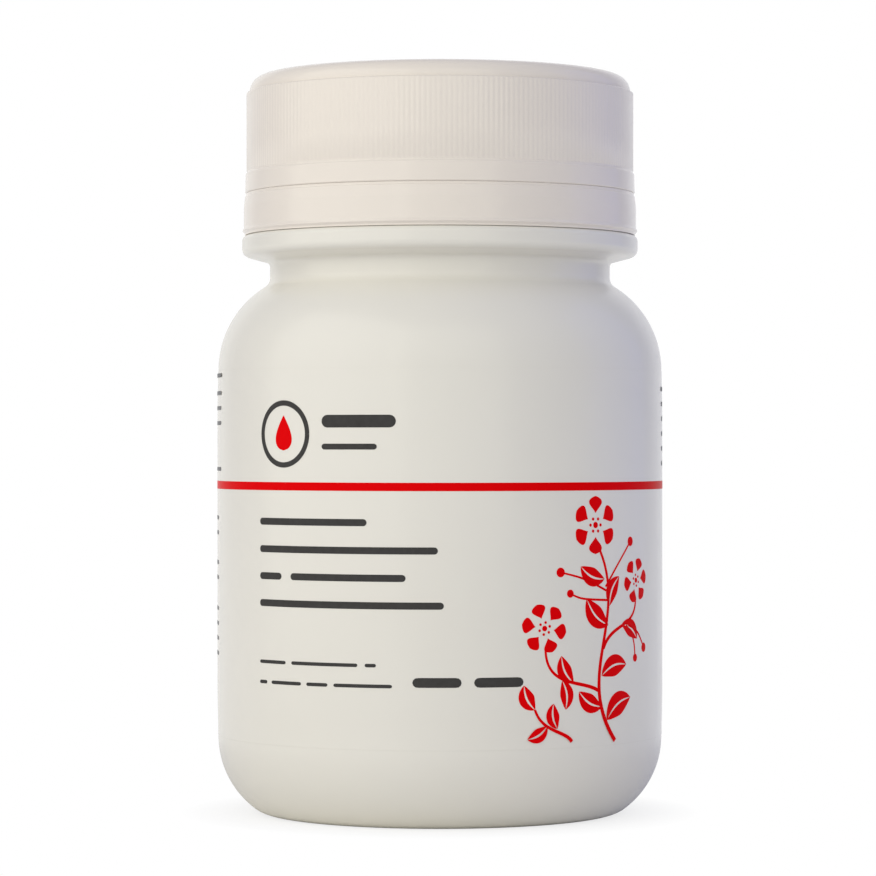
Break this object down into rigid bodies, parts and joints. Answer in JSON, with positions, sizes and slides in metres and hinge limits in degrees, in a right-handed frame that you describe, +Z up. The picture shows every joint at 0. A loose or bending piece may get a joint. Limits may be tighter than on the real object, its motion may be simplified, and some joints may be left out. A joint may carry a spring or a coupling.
{
  "type": "sponge jar",
  "caption": "Round white screw-top jar with a rounded base and shoulder, a ribbed cap with a tamper band, a wrap label and a soaked sponge with a finger hole.",
  "frame": {"origin": "middle of the ring that the jar stands on, at the level of the surface under it", "axes": "+Z up along the jar's and the cap's common axis; -Y towards the printed front; +X to the right of the printed front"},
  "size_m": [0.048, 0.048, 0.0793],
  "materials": {
    "jar_hdpe": "satin",
    "label_film": "satin",
    "sponge_foam": "matte",
    "cap_pp": "satin",
    "liner_foam": "matte"
  },
  "bodies": {
    "jar_body": {"jar": "jar_hdpe", "wrap_label": "label_film", "sponge": "sponge_foam"},
    "liner_body": {"cap_liner": "liner_foam"},
    "cap_body": {"cap": "cap_pp"},
    "band_body": {"tamper_band": "cap_pp", "tamper_bridges": "cap_pp"}
  },
  "joints": [
    {"name": "cap_lift", "type": "slide", "parent": "jar_body", "child": "liner_body", "axis": [0, 0, 1], "range_m": [0, 0.0127]},
    {"name": "cap_turn", "type": "hinge", "parent": "liner_body", "child": "cap_body", "pos_m": [0, 0, 0.0726], "axis": [0, 0, 1], "range_deg": [0, 1080]},
    {"name": "band_spin", "type": "hinge", "parent": "jar_body", "child": "band_body", "pos_m": [0, 0, 0.0642], "axis": [0, 0, 1], "continuous": true}
  ],
  "couplings": [
    {"joint": "cap_lift", "follows": "cap_turn", "m_per_rad": 0.00067323}
  ]
}
